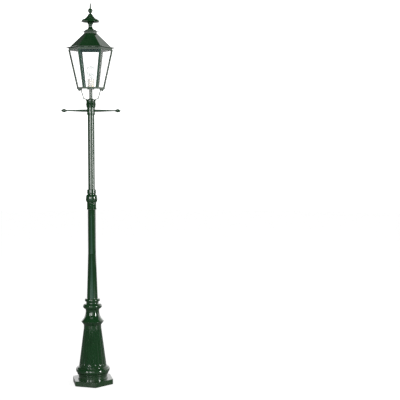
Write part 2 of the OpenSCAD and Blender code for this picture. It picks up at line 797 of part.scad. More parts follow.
// One strip along the right edge of a side, from depth d to depth d + t, in the side's own axes.
module strip(d, t, w, inset) translate([0, 0, -d - t]) linear_extrude(height = t) polygon([
    [low_side / 2 - inset - tan(lean_in) * t, -t], [top_side / 2 - inset + tan(lean_in) * t, slope_l + t],
    [top_side / 2 - inset - w + tan(lean_in) * t, slope_l + t], [low_side / 2 - inset - w - tan(lean_in) * t, -t]]);

module angle_strip(k, d, t, w, inset) {
    on_side(k) strip(d, t, w, inset);
    on_side(k + 1) mirror([1, 0, 0]) strip(d, t, w, inset);
}

module corner_bars() color("darkslategray") intersection() {
    for (k = [0:hex - 1]) angle_strip(k, 0, leg_t, leg_w, 0);
    hex_z(z_body, z_frame, 2 * top_r);
}

// A sheet of glass lies behind the corner bars, with play all round.
module pane(k) color("lightcyan", 0.3) {
    d = leg_t + pane_gap;
    inset = (d + glass_t) / sqrt(3) + glass_play;
    on_side(k - 1) translate([0, 0, -d - glass_t]) linear_extrude(height = glass_t) polygon([
        [-low_side / 2 + inset, glass_play], [low_side / 2 - inset, glass_play],
        [top_side / 2 - inset, slope_l - glass_play], [-top_side / 2 + inset, slope_l - glass_play]]);
}

module glazing_strips() {
    d = leg_t + pane_gap + glass_t + pane_gap;
    color("darkslategray") intersection() {
        for (k = [0:hex - 1]) angle_strip(k, d, strip_t, strip_w, d / sqrt(3));
        hex_z(z_body, z_frame, 2 * top_r);
    }
}

module top_frame() color("darkslategray") difference() {
    union() {
        hex_z(z_frame, z_frame + frame_foot_h, top_r);
        hex_z(z_frame, z_frame_top, top_r - frame_recess);
        hex_z(z_frame_top - frame_lip_h, z_frame_top, top_r);
    }
    hex_z(z_frame - 1, z_frame_top + 1, frame_in_r);
}

module latch_bracket() color("darkslategray") difference() {
    union() {
        translate([-bracket_half, frame_a, bracket_top - bracket_h])
            cube([2 * bracket_half, screw_y - frame_a, bracket_h]);
        translate([0, screw_y, 0]) rod_z(bracket_top - bracket_h, bracket_top, bracket_half - 1);
        translate([-bracket_half, frame_a, z_frame + 1])
            cube([2 * bracket_half, leaf_t, bracket_top - z_frame - 1]);
    }
    translate([0, screw_y, 0]) rod_z(z_frame, z_frame_top, screw_r + bracket_play);
    translate([-big / 2, -big + frame_a, z_band]) cube([big, big, body_h * 2]);
}

// Knuckles of one leaf: every second one, from the first or from the second.
module knuckles(first, r, trim) for (i = [first:2:knuckle_n - 1])
    translate([-hinge_half + i * knuckle_l + trim, pin_y, pin_z]) rotate([0, 90, 0])
        cylinder(h = knuckle_l - 2 * trim, r = r);

module pin_bore() translate([-hinge_half - 1, pin_y, pin_z]) rotate([0, 90, 0])
    cylinder(h = 2 * hinge_half + 2, r = hinge_pin_r + run);

module hinge_leaf_frame() color("darkslategray") difference() {
    union() {
        knuckles(0, knuckle_r, 0);
        difference() {
            translate([-hinge_half, -frame_a - leaf_t, pin_z - leaf_h])
                cube([2 * hinge_half, leaf_t, leaf_h]);
            knuckles(1, knuckle_r + gap, 0);
        }
    }
    pin_bore();
}

module hinge_leaf_roof() color("darkslategray") difference() {
    union() {
        knuckles(1, knuckle_r, gap);
        for (i = [1:2:knuckle_n - 1])
            translate([-hinge_half + i * knuckle_l + gap, pin_y - knuckle_r, pin_z])
                cube([knuckle_l - 2 * gap, leaf_t, z_eave - leaf_t / 2 - pin_z]);
        translate([-hinge_half, leaf_y, z_eave - leaf_t])
            cube([2 * hinge_half, -frame_a - gap - leaf_y, leaf_t]);
    }
    pin_bore();
}

module hinge_pin() color("gray") translate([0, pin_y, pin_z]) rotate([0, 90, 0]) {
    rod_z(-hinge_half - 2, hinge_half + 2, hinge_pin_r);
    for (side = [-1, 1]) translate([0, 0, side * (hinge_half + 1.2)])
        cylinder(h = 1.6, r = hinge_pin_r + 1, center = true);
}

// ---- lamp ----

module terminal_holes(r, depth) for (side = [-1, 1])
    translate([0, 0, z_holder + 16]) rotate([0, 0, -90 + side * 26]) rotate([0, 90, 0])
        translate([0, 0, holder_foot_r + 2 - depth]) cylinder(h = depth, r = r);

module holder_base() color("linen") difference() {
    turned([[holder_foot_r - 0.6, z_holder], [holder_foot_r, z_holder + 1],
        [holder_base_r, z_holder_mid - 1], [holder_base_r - 0.6, z_holder_mid]]);
    rod_z(z_cup, z_holder_mid + 1, cup_r);
    rod_z(z_holder - 1, z_cup + 1, stem_r - stem_wall - 2);
    terminal_holes(terminal_r, 7);
}

module holder_collar() color("linen") difference() {
    turned([[holder_r - 0.6, z_holder_mid], [holder_r, z_holder_mid + 0.8],
        [holder_r, z_holder_top - 1.2], [holder_r - 1.2, z_holder_top]]);
    rod_z(z_holder_mid - 1, z_holder_top + 1, bulb_neck_r + 2);
}

module holder_shell() color("gold") difference() {
    rod_z(z_cap_low, z_holder_mid - 1, cap_thread_r + thread_gap + shell_t);
    rod_z(z_cap_low - 1, z_holder_mid, cap_thread_r + thread_gap);
}

module holder_contact() color("gold") difference() {
    rod_z(z_cup, z_cup + contact_h, cap_thread_r - 1);
    rod_z(z_cup + contact_h / 2, z_cup + contact_h + 1, cap_thread_r - 3);
    rod_z(z_cup - 1, z_cup + contact_h, stem_r - stem_wall - 2);
}

module holder_screws() color("gold") difference() {
    terminal_holes(terminal_r - 0.2, 6.8);
    rotate_extrude() translate([holder_foot_r - 1, z_holder]) square([big, holder_base_h]);
}

function glass_outline(t) = let (r = bulb_r - t, nr = bulb_neck_r - t, za = z_cap_top + 8) concat(
    [[glass_foot_r - t, z_cap_top], [nr, z_cap_top + 4]],
    arc(nr, za, r * cos(neck_angle), z_bulb - r * sin(neck_angle), 1, 2.4, 8),
    [for (i = [1:16]) let (a = -neck_angle + (90 + neck_angle) * i / 16)
        [i == 16 ? 0 : r * cos(a), z_bulb + r * sin(a)]]);

module bulb_glass() color("white", 0.3) {
    out = glass_outline(0);
    in = glass_outline(bulb_t);
    rotate_extrude() polygon(concat(out, [for (i = [len(in) - 1:-1:0]) in[i]]));
}

module bulb_cap() color("silver") {
    pitch = 3.6;
    turns = floor((cap_thread_h - 6) / pitch);
    root_r = cap_thread_r - 0.9;
    turned(concat([[4, z_cap_low - tip_h], [4.4, z_cap_low - tip_h + 1], [root_r - 1.5, z_cap_low]],
        [[root_r, z_cap_low + 1.5]],
        [for (i = [0:turns - 1], p = swell(z_cap_low + 2 + i * pitch, pitch, root_r, cap_thread_r, 6)) p],
        [[root_r, z_cap_top - 1], [cap_thread_r, z_cap_top]]));
}

module bulb_stem() color("white", 0.4) difference() {
    turned([[5.5, z_cap_top], [3.2, z_cap_top + 8], [stem_top_r, z_cap_top + 26]]);
    for (side = [-1, 1]) translate([side * wire_x, 0, 0])
        rod_z(z_wire, z_cap_top + 27, wire_r + wire_gap);
}

module bulb_filament() color("gray") {
    z0 = z_cap_top + 22;
    p = [[wire_x, z_wire], [wire_x, z0 + 6], [11, z0 + 14], [7, z0 + 17], [3.5, z0 + 13.5], [0, z0 + 17]];
    for (side = [0, 1]) mirror([side, 0, 0]) for (i = [0:len(p) - 2]) {
        rod_between(p[i], p[i + 1], wire_r);
        if (i > 0) translate([p[i][0], 0, p[i][1]]) sphere(1.2 * wire_r);
    }
    translate([0, 0, z0 + 17]) sphere(1.2 * wire_r);
}

// ---- roof ----

module roof_shell() color("darkslategray") difference() {
    hex_cone(z_roof, z_roof_top, roof_low_r, roof_top_r);
    hex_cone(z_roof - eps, z_roof_top - sheet_t, roof_low_r - 2 * sheet_t, roof_top_r - 1.2 * sheet_t);
    rod_z(z_roof, z_roof_top + 1, vent_r);
}

module eave_plate() color("darkslategray") difference() {
    union() {
        hex_cone(z_roof - droop_h, z_roof, eave_r, eave_r - droop_w);
        hex_z(z_eave - droop_h, z_roof - droop_h, eave_r);
    }
    hex_cone(z_eave - droop_h - eps, z_eave, eave_r - lip_t, eave_r - droop_w - lip_t);
    hex_z(z_eave - 1, z_roof + 1, eave_in_r);
    translate([0, screw_y, 0]) rod_z(z_frame, z_roof + 1, screw_r + slip);
}

module roof_seal() color("black") difference() {
    hex_z(z_eave - seal_t, z_eave, top_r - 3 * gap);
    hex_z(z_eave - seal_t - 1, z_eave + 1, max(frame_in_r, eave_in_r) + 1);
}

module roof_collar() color("darkslategray") difference() {
    hex_z(z_roof_top, z_plate, hex_collar_r);
    rod_z(z_roof_top - 1, z_plate + 1, vent_r);
}

module top_plate() {
    z1 = z_plate + plate_edge_h;
    z2 = z1 + plate_slope_h;
    color("darkslategray") difference() {
        union() {
            hex_z(z_plate, z1, plate_r);
            hex_cone(z1, z2, plate_r - 1, plate_step_r + 3);
            hex_z(z2, z_vent, plate_step_r);
        }
        rod_z(z_plate - 1, z_vent + 1, vent_r);
    }
}

module vent_neck() {
    z1 = z_vent + neck_foot_h;
    z2 = z1 + neck_low_h;
    z3 = z2 + neck_up_h;
    color("darkslategray") difference() {
        turned(concat(swell(z_vent, neck_foot_h, neck_foot_r - 1, neck_foot_r, 6),
            arc(neck_foot_r - 2, z1, neck_r, z2, 1, 0.8, 10),
            arc(neck_r, z2, neck_top_r - 2, z3, 1, 0.8, 8),
            swell(z3, neck_ring_h, neck_top_r - 2, neck_top_r, 6),
            swell(z3 + neck_ring_h, neck_ring_h, neck_top_r - 2, neck_top_r, 6)));
        rod_z(z_vent - 1, z_spider - spider_h, neck_bore_r);
        rod_z(z_vent, z_spider + 1, tie_r + slip);
        for (i = [0:3]) rotate([0, 0, 45 + 90 * i]) translate([(tie_r + slip + neck_bore_r) / 2, 0, 0])
            rod_z(z_vent, z_spider + 1, (neck_bore_r - tie_r - slip) / 2 - 1);
    }
}

module hood() {
    z1 = z_hood + hood_rim_h;
    z2 = z1 + brim_h;
    z3 = z2 + step_low_h;
    z4 = z3 + step_up_h;
    in_r = hood_r - hood_wall;
    color("darkslategray") difference() {
        union() {
            difference() {
                turned(concat([[hood_r, z_hood], [hood_r, z1]],
                    arc(hood_r - 1, z1, step_low_r + 1, z2, -1, 0.8),
                    arc(step_low_r, z2, step_up_r + 3, z3, -1, 0.9),
                    arc(step_up_r, z3, bell_r + 2, z4, -1, 0.9),
                    arc(bell_r, z4, bell_top_r, z_ball - 2, -1, 0.8),
                    [[bell_top_r, z_ball]]));
                turned(concat([[in_r, z_hood - 1], [in_r, z1]],
                    arc(in_r - 1, z1 + eps, step_low_r - hood_wall, z2 - hood_wall, -1, 0.8),
                    [[step_up_r - hood_wall, z3 - hood_wall], [bell_r - hood_wall, z4 - hood_wall]]));
            }
            rod_z(z_spider, z_ball - bell_h / 2, hood_hub_r);
        }
        rod_z(z_vent, z_ball + 1, tie_r + slip);
    }
}

module finial_ball() {
    ridge0 = z_ridge - ridge_h / 2;
    ridge1 = z_ridge + ridge_h / 2;
    color("darkslategray") difference() {
        turned(concat([[bell_top_r, z_ball], [bell_top_r, z_ball + 1], [bell_top_r - 1.5, z_ball + 2.5]],
            arc(bell_top_r - 1, z_ball + 3.5, ball_r, ridge0, -1, 0.8),
            swell(ridge0, ridge_h, ridge_r - 1, ridge_r, 6),
            [for (i = [0:8]) let (a = asin(0) + acos(spike_r / ball_r) * i / 8)
                [ball_r * cos(a), ridge1 + ball_r * sin(a)]]));
        rod_z(z_ball - 1, z_ball + tie_in, tie_r + tie_gap);
        rod_z(z_spike - spike_tenon, z_spike + 1, spike_r / 2 + tie_gap);
    }
}

module finial_spike() color("darkslategray") turned(concat(
    [[spike_r / 2, z_spike - spike_tenon + gap], [spike_r / 2, z_spike], [spike_r, z_spike],
        [spike_r, z_spike + 1]],
    [for (i = [0:6]) let (a = 90 * i / 6)
        [max(0.05, spike_top_r * cos(a)), z_top - spike_top_r + spike_top_r * sin(a)]]));

module tie_rod() color("gray") rod_z(z_tie, z_ball + tie_in - gap, tie_r);

module tie_bridge() color("gray") difference() {
    translate([-vent_r - 8, -bridge_half, z_roof_top - sheet_t - bridge_h])
        cube([2 * vent_r + 16, 2 * bridge_half, bridge_h]);
    rod_z(z_roof, z_roof_top, tie_r + slip);
}

module tie_nut() color("gray") difference() {
    hex_z(z_tie + 3, z_roof_top - sheet_t - bridge_h, 2 * tie_r - 0.5);
    rod_z(z_roof, z_roof_top, tie_r + bolt_play);
}

module roof_screw() color("gray") translate([0, screw_y, 0]) {
    rod_z(bracket_top - bracket_h + 1, z_roof + gap, screw_r);
    rod_z(z_eave - clip_drop - clip_h, z_eave - clip_drop, screw_r + 1.2);
    rod_z(z_roof + gap / 2, z_roof + gap / 2 + hub_h, hub_r);
    for (side = [0, 1]) rotate([0, 0, 180 * side])
        translate([0, wing_t / 2, z_roof + gap / 2 + hub_h / 2]) rotate([90, 0, 0])
            linear_extrude(height = wing_t) polygon([[0, 0], [hub_r, 0], [wing_l, wing_h / 2],
                [wing_l, wing_h], [hub_r, wing_h / 2], [0, wing_h / 2]]);
}

foot_plate();
base_drum();
fluted_cone();
pedestal_neck();
flared_sleeve();
core_tube();
lower_shaft();
middle_knot();
upper_shaft();
head_socket();
socket_cap();
ladder_bar();
bar_end(-1);  // bar_end_left
bar_end(1);  // bar_end_right
bar_set_screw();
stem_tube();
arm_left();
arm_right();
arm_bolts();
arm_nuts();
bottom_ring();
floor_plate();
corner_bars();
pane(1);  // pane_1
pane(2);  // pane_2
pane(3);  // pane_3
pane(4);  // pane_4
pane(5);  // pane_5
pane(6);  // pane_6
glazing_strips();
top_frame();
latch_bracket();
hinge_leaf_frame();
hinge_pin();
holder_base();
holder_collar();
holder_shell();
holder_contact();
holder_screws();
bulb_glass();
bulb_cap();
bulb_stem();
bulb_filament();
roof_shell();
eave_plate();
roof_seal();
roof_collar();
top_plate();
vent_neck();
hood();
finial_ball();
finial_spike();
tie_rod();
tie_bridge();
tie_nut();
hinge_leaf_roof();
roof_screw();
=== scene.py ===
import math

import bmesh
import bpy
from mathutils import Matrix, Vector


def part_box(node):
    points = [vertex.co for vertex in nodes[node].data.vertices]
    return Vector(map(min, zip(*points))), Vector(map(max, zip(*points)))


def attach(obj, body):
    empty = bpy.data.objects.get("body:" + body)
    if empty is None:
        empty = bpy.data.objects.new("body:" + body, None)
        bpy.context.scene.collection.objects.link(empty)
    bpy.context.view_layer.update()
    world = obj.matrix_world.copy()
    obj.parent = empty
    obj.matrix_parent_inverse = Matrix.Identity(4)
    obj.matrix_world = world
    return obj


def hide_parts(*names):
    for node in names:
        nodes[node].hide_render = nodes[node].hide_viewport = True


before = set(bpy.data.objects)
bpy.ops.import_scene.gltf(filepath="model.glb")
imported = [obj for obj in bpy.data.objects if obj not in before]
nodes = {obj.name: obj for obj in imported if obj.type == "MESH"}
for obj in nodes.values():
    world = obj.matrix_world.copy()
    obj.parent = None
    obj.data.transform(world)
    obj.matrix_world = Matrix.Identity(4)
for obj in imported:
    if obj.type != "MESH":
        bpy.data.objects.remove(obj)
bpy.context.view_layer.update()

MM = 0.001
SHARP_EDGE = math.radians(28)    # an arris steeper than this is softened


def low(node):
    """Height of a CAD node's foot, in millimetres."""
    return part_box(node)[0].z / MM


def high(node):
    """Height of a CAD node's top, in millimetres."""
    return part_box(node)[1].z / MM


# ---- outlines, in millimetres: (radius, height) from the foot to the top ----

def arc(r0, z0, r1, z1, side, k=0.8, n=14):
    """Arc between two places; side -1 swells outwards, 1 hollows inwards.

    k is its radius over its chord.
    """
    dr, dz = r1 - r0, z1 - z0
    chord = math.hypot(dr, dz)
    h = chord * math.sqrt(k * k - 0.25)
    cr = (r0 + r1) / 2 + side * h * dz / chord
    cz = (z0 + z1) / 2 - side * h * dr / chord
    start = math.atan2(z0 - cz, r0 - cr)
    turn = math.atan2(z1 - cz, r1 - cr) - start
    if side < 0 and turn < 0:
        turn += 2 * math.pi
    if side > 0 and turn > 0:
        turn -= 2 * math.pi
    angles = [start + turn * i / n for i in range(n + 1)]
    return [(cr + k * chord * math.cos(a), cz + k * chord * math.sin(a)) for a in angles]


def swell(z0, h, r0, r1, n=14):
    """Half round moulding of height h that stands out from r0 to r1."""
    return [(r0 + (r1 - r0) * math.cos(a), z0 + h / 2 + h / 2 * math.sin(a))
            for a in (math.radians(-90 + 180 * i / n) for i in range(n + 1))]


# ---- building ----

def to_object(bm, name, body, replaced, material, smooth=32):
    """The piece in the place of a CAD node; edges over `smooth` degrees stay sharp, flat faces shade flat."""
    mesh = bpy.data.meshes.new(name)
    bm.to_mesh(mesh)
    bm.free()
    piece = bpy.data.objects.new(name, mesh)
    bpy.context.scene.collection.objects.link(piece)
    mesh.shade_smooth()
    mesh.set_sharp_from_angle(angle=math.radians(smooth))
    even = piece.modifiers.new("even_shading", "WEIGHTED_NORMAL")
    even.keep_sharp = True
    even.weight = 100
    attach(piece, body)
    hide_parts(replaced)
    mesh.materials.append(material)


def iron(bm, name, replaced, body="post", smooth=32):
    """A piece of cast iron under green paint."""
    to_object(bm, name, body, replaced, IRON_GREEN, smooth)


def tube(bm, name, replaced):
    """A drawn tube of the post, under green paint."""
    to_object(bm, name, "post", replaced, TUBE_GREEN)


def turned(outline, steps=96, bore=0.0, soften=0.5, closed=False):
    """A bmesh turned from its outline round the Z axis, closed on its axis or on a bore."""
    bm = bmesh.new()
    points = list(outline)
    if not closed:
        points = [(bore, outline[0][1])] + points + [(bore, outline[-1][1])]
    kept = []
    for p in points:
        if not kept or math.dist(p, kept[-1]) > 0.02:
            kept.append(p)
    verts = [bm.verts.new((max(r, 0.0) * MM, 0, z * MM)) for r, z in kept]
    for a, b in zip(verts, verts[1:]):
        bm.edges.new((a, b))
    if bore > 0 or closed:
        bm.edges.new((verts[-1], verts[0]))
    if soften > 0:
        corners = []
        for i in range(1, len(verts) - 1):
            a = (verts[i].co - verts[i - 1].co).normalized()
            b = (verts[i + 1].co - verts[i].co).normalized()
            if a.angle(b) > SHARP_EDGE and verts[i].co.x > 0.5 * MM:
                corners.append(verts[i])
        if corners:
            bmesh.ops.bevel(bm, geom=corners, offset=soften * MM, offset_type="OFFSET",
                            segments=3, profile=0.5, affect="VERTICES", material=-1, clamp_overlap=True)
    bmesh.ops.spin(bm, geom=bm.verts[:] + bm.edges[:], cent=(0, 0, 0), axis=(0, 0, 1),
                   angle=2 * math.pi, steps=steps, use_merge=True, use_duplicate=False)
    bmesh.ops.remove_doubles(bm, verts=bm.verts, dist=2e-6)
    bmesh.ops.recalc_face_normals(bm, faces=bm.faces)
    return bm


def laid(bm, tip, x, height):
    """A turned bmesh laid along the X axis with its top towards tip, 1 or -1, its foot at x."""
    bmesh.ops.transform(bm, matrix=Matrix.Rotation(tip * math.pi / 2, 4, "Y"), verts=bm.verts)
    bmesh.ops.translate(bm, vec=Vector((x, 0, height)) * MM, verts=bm.verts)
    return bm


def softened(node, body, material, width, segments=2, name=None):
    """A copy of a CAD node with its arrises softened, as a casting or a folded sheet has them."""
    bm = bmesh.new()
    bm.from_mesh(nodes[node].data)
    bmesh.ops.remove_doubles(bm, verts=bm.verts, dist=1e-6)
    bmesh.ops.dissolve_limit(bm, angle_limit=math.radians(1.0), verts=bm.verts, edges=bm.edges)
    sharp = [e for e in bm.edges if len(e.link_faces) == 2 and e.calc_face_angle(0) > SHARP_EDGE]
    bmesh.ops.bevel(bm, geom=sharp, offset=width * MM, offset_type="OFFSET", segments=segments,
                    profile=0.5, affect="EDGES", material=-1, clamp_overlap=True)
    bmesh.ops.triangulate(bm, faces=[f for f in bm.faces if len(f.verts) > 4])
    to_object(bm, name or node + "_finished", body, node, material, smooth=12)


# ---- shared effects ----

def group(name, inputs, outputs):
    """A node group with its sockets, and its input and output nodes."""
    g = bpy.data.node_groups.new(name, "ShaderNodeTree")
    for label, kind, value in inputs:
        s = g.interface.new_socket(name=label, in_out="INPUT", socket_type=kind)
        if value is not None:
            s.default_value = value
    for label, kind in outputs:
        g.interface.new_socket(name=label, in_out="OUTPUT", socket_type=kind)
    return g, g.nodes.new("NodeGroupInput"), g.nodes.new("NodeGroupOutput")


def link(tree, a, b):
    tree.links.new(a, b)


def noise(tree, vector, scale, detail=3.0, rough=0.5):
    n = tree.nodes.new("ShaderNodeTexNoise")
    n.inputs["Detail"].default_value = detail
    n.inputs["Roughness"].default_value = rough
    link(tree, vector, n.inputs["Vector"])
    if hasattr(scale, "links"):
        link(tree, scale, n.inputs["Scale"])
    else:
        n.inputs["Scale"].default_value = scale
    return n.outputs["Fac"]


def maths(tree, kind, a, b, clamp=False):
    n = tree.nodes.new("ShaderNodeMath")
    n.operation = kind
    n.use_clamp = clamp
    for i, v in enumerate((a, b)):
        if isinstance(v, (int, float)):
            n.inputs[i].default_value = v
        else:
            link(tree, v, n.inputs[i])
    return n.outputs[0]


def span(tree, value, a0, a1, b0=0.0, b1=1.0):
    n = tree.nodes.new("ShaderNodeMapRange")
    n.inputs["From Min"].default_value = a0
    n.inputs["From Max"].default_value = a1
    n.inputs["To Min"].default_value = b0
    n.inputs["To Max"].default_value = b1
    link(tree, value, n.inputs["Value"])
    return n.outputs["Result"]


def blend(tree, factor, a, b):
    n = tree.nodes.new("ShaderNodeMix")
    n.data_type = "RGBA"
    link(tree, factor, n.inputs["Factor"])
    for socket, v in ((n.inputs["A"], a), (n.inputs["B"], b)):
        if isinstance(v, (tuple, list)):
            socket.default_value = v
        else:
            link(tree, v, socket)
    return n.outputs["Result"]


def make_paint_skin():
    """Gloss paint's own surface: orange peel, the unevenness of what it covers, and slow changes of tone."""
    g, i, o = group("paint_skin", [
        ("Vector", "NodeSocketVector", None), ("Peel Scale", "NodeSocketFloat", 900.0),
        ("Cast Scale", "NodeSocketFloat", 60.0), ("Cast Amount", "NodeSocketFloat", 0.5)],
        [("Height", "NodeSocketFloat"), ("Tone", "NodeSocketFloat"), ("Dulling", "NodeSocketFloat")])
    peel = noise(g, i.outputs["Vector"], i.outputs["Peel Scale"], 2.0, 0.45)
    cast = noise(g, i.outputs["Vector"], i.outputs["Cast Scale"], 4.0, 0.55)
    height = maths(g, "ADD", maths(g, "MULTIPLY", peel, 0.03),
                   maths(g, "MULTIPLY", cast, i.outputs["Cast Amount"]))
    link(g, height, o.inputs["Height"])
    slow = noise(g, i.outputs["Vector"], 9.0, 3.0, 0.6)
    link(g, span(g, slow, 0.35, 0.68), o.inputs["Tone"])
    smear = noise(g, i.outputs["Vector"], 34.0, 5.0, 0.65)
    link(g, span(g, smear, 0.42, 0.75), o.inputs["Dulling"])
    return g


def make_settled_dust():
    """Where dust and splashes stay: on faces that look up, and low down on the pedestal."""
    g, i, o = group("settled_dust", [
        ("Vector", "NodeSocketVector", None), ("Normal", "NodeSocketVector", None),
        ("Amount", "NodeSocketFloat", 0.5)], [("Mask", "NodeSocketFloat")])
    up = g.nodes.new("ShaderNodeSeparateXYZ")
    link(g, i.outputs["Normal"], up.inputs[0])
    at = g.nodes.new("ShaderNodeSeparateXYZ")
    link(g, i.outputs["Vector"], at.inputs[0])
    ledge = span(g, up.outputs["Z"], 0.55, 1.0)
    splash = span(g, at.outputs["Z"], 0.16, 0.0)
    patch = span(g, noise(g, i.outputs["Vector"], 26.0, 6.0, 0.7), 0.38, 0.72)
    both = maths(g, "MAXIMUM", maths(g, "MULTIPLY", ledge, 0.8), maths(g, "MULTIPLY", splash, 0.7))
    mask = maths(g, "MULTIPLY", maths(g, "MULTIPLY", both, patch), i.outputs["Amount"], True)
    link(g, mask, o.inputs["Mask"])
    return g


PAINT_SKIN = make_paint_skin()
SETTLED_DUST = make_settled_dust()


def new_material(name):
    """A new material, its node tree, its Principled shader and its coordinates."""
    m = bpy.data.materials.new(name)
    m.use_nodes = True
    t = m.node_tree
    shader = t.nodes["Principled BSDF"]
    coords = t.nodes.new("ShaderNodeTexCoord")
    return m, t, shader, coords


def placed(tree, g, **values):
    """A node group set into a material, with the values or links of its inputs."""
    n = tree.nodes.new("ShaderNodeGroup")
    n.node_tree = g
    for key, v in values.items():
        socket = n.inputs[key.replace("_", " ")]
        if isinstance(v, (int, float)):
            socket.default_value = v
        else:
            link(tree, v, socket)
    return n


def bump(tree, height, shader, distance):
    n = tree.nodes.new("ShaderNodeBump")
    n.inputs["Strength"].default_value = 1.0
    n.inputs["Distance"].default_value = distance
    link(tree, height, n.inputs["Height"])
    link(tree, n.outputs["Normal"], shader.inputs["Normal"])


def green_paint(name, cast_scale, cast_amount, distance, rough0, rough1):
    """Dark green gloss paint over a casting, a tube or sheet."""
    m, t, s, c = new_material(name)
    skin = placed(t, PAINT_SKIN, Vector=c.outputs["Object"], Peel_Scale=1100.0, Cast_Scale=cast_scale,
                  Cast_Amount=cast_amount)
    dusty = placed(t, SETTLED_DUST, Vector=c.outputs["Object"], Normal=c.outputs["Normal"], Amount=0.5)
    tone = blend(t, skin.outputs["Tone"], DEEP, LIGHT)
    link(t, blend(t, dusty.outputs["Mask"], tone, DUST), s.inputs["Base Color"])
    rough = span(t, skin.outputs["Dulling"], 0.0, 1.0, rough0, rough1)
    duller = maths(t, "MULTIPLY", dusty.outputs["Mask"], 0.3)
    link(t, maths(t, "ADD", rough, duller), s.inputs["Roughness"])
    s.inputs["IOR"].default_value = 1.5
    s.inputs["Coat Weight"].default_value = 0.6
    s.inputs["Coat Roughness"].default_value = 0.06
    bump(t, skin.outputs["Height"], s, distance)
    return m


def metal(name, colour, dark, rough0, rough1, grain_scale, distance):
    """Bare or plated metal, with a fine grain and slow darker patches."""
    m, t, s, c = new_material(name)
    n = noise(t, c.outputs["Object"], grain_scale, 5.0, 0.6)
    spots = noise(t, c.outputs["Object"], grain_scale * 0.12, 3.0, 0.6)
    link(t, blend(t, span(t, spots, 0.35, 0.75), colour, dark), s.inputs["Base Color"])
    link(t, span(t, n, 0.3, 0.7, rough0, rough1), s.inputs["Roughness"])
    s.inputs["Metallic"].default_value = 1.0
    bump(t, n, s, distance)
    return m


def clear_glass(name, tint, ripple_scale, distance, rough):
    """Glass with a slow ripple; it lets shadow and diffuse rays straight through."""
    m, t, s, c = new_material(name)
    slow = noise(t, c.outputs["Object"], ripple_scale, 2.0, 0.4)
    smear = noise(t, c.outputs["Object"], ripple_scale * 5, 5.0, 0.65)
    link(t, blend(t, slow, tint, (1, 1, 1, 1)), s.inputs["Base Color"])
    link(t, span(t, smear, 0.45, 0.8, rough, rough + 0.035), s.inputs["Roughness"])
    s.inputs["Transmission Weight"].default_value = 1.0
    s.inputs["IOR"].default_value = 1.46
    bump(t, slow, s, distance)
    open_way = t.nodes.new("ShaderNodeBsdfTransparent")
    path = t.nodes.new("ShaderNodeLightPath")
    mix = t.nodes.new("ShaderNodeMixShader")
    passes = maths(t, "MAXIMUM", path.outputs["Is Shadow Ray"], path.outputs["Is Diffuse Ray"])
    link(t, passes, mix.inputs[0])
    link(t, s.outputs[0], mix.inputs[1])
    link(t, open_way.outputs[0], mix.inputs[2])
    link(t, mix.outputs[0], t.nodes["Material Output"].inputs["Surface"])
    return m


def porcelain_glaze(name):
    """Cream glaze with pooling and a few dark specks."""
    m, t, s, c = new_material(name)
    pool = noise(t, c.outputs["Object"], 40.0, 3.0, 0.5)
    specks = noise(t, c.outputs["Object"], 900.0, 2.0, 0.5)
    cream = blend(t, span(t, pool, 0.35, 0.7), (0.80, 0.735, 0.68, 1), (0.86, 0.80, 0.75, 1))
    link(t, blend(t, span(t, specks, 0.72, 0.78), cream, (0.35, 0.27, 0.18, 1)), s.inputs["Base Color"])
    link(t, span(t, pool, 0.3, 0.7, 0.12, 0.2), s.inputs["Roughness"])
    s.inputs["Coat Weight"].default_value = 0.5
    s.inputs["Coat Roughness"].default_value = 0.05
    s.inputs["Subsurface Weight"].default_value = 0.05
    s.inputs["Subsurface Radius"].default_value = (0.002, 0.0015, 0.001)
    bump(t, pool, s, 0.0002)
    return m


def black_rubber(name):
    """Dull black rubber with a fine grain."""
    m, t, s, c = new_material(name)
    n = noise(t, c.outputs["Object"], 700.0, 4.0, 0.6)
    link(t, blend(t, n, (0.012, 0.012, 0.012, 1), (0.035, 0.035, 0.034, 1)), s.inputs["Base Color"])
    link(t, span(t, n, 0.3, 0.7, 0.6, 0.85), s.inputs["Roughness"])
    bump(t, n, s, 0.0001)
    return m


DEEP, LIGHT = (0.0062, 0.0330, 0.0095, 1), (0.0088, 0.0420, 0.0130, 1)
DUST = (0.075, 0.085, 0.062, 1)
IRON_GREEN = green_paint("green_paint_on_iron", 70.0, 0.5, 0.00009, 0.05, 0.10)
TUBE_GREEN = green_paint("green_paint_on_tube", 36.0, 0.3, 0.00003, 0.04, 0.08)
SHEET_GREEN = green_paint("green_paint_on_sheet", 18.0, 0.5, 0.00012, 0.06, 0.12)
PANE_GLASS = clear_glass("pane_glass", (0.978, 0.976, 0.968, 1), 9.0, 0.0003, 0.0)
BULB_GLASS = clear_glass("blown_glass", (0.74, 0.755, 0.75, 1), 30.0, 0.0002, 0.0)
STEM_GLASS = clear_glass("pressed_glass", (0.93, 0.95, 0.94, 1), 60.0, 0.0004, 0.02)
PORCELAIN = porcelain_glaze("porcelain_glaze")
ZINC = metal("zinc_plate", (0.50, 0.51, 0.52, 1), (0.34, 0.35, 0.36, 1), 0.25, 0.45, 800.0, 0.00005)
BRASS = metal("rolled_brass", (0.72, 0.53, 0.24, 1), (0.50, 0.34, 0.14, 1), 0.22, 0.4, 600.0, 0.00004)
CAP_METAL = metal("cap_aluminium", (0.76, 0.77, 0.79, 1), (0.60, 0.61, 0.63, 1), 0.2, 0.35, 700.0, 0.00004)
WIRE = metal("drawn_wire", (0.20, 0.19, 0.18, 1), (0.12, 0.11, 0.10, 1), 0.35, 0.5, 900.0, 0.00002)
RUBBER = black_rubber("seal_rubber")

# ---- levels and radii of the post, in millimetres ----

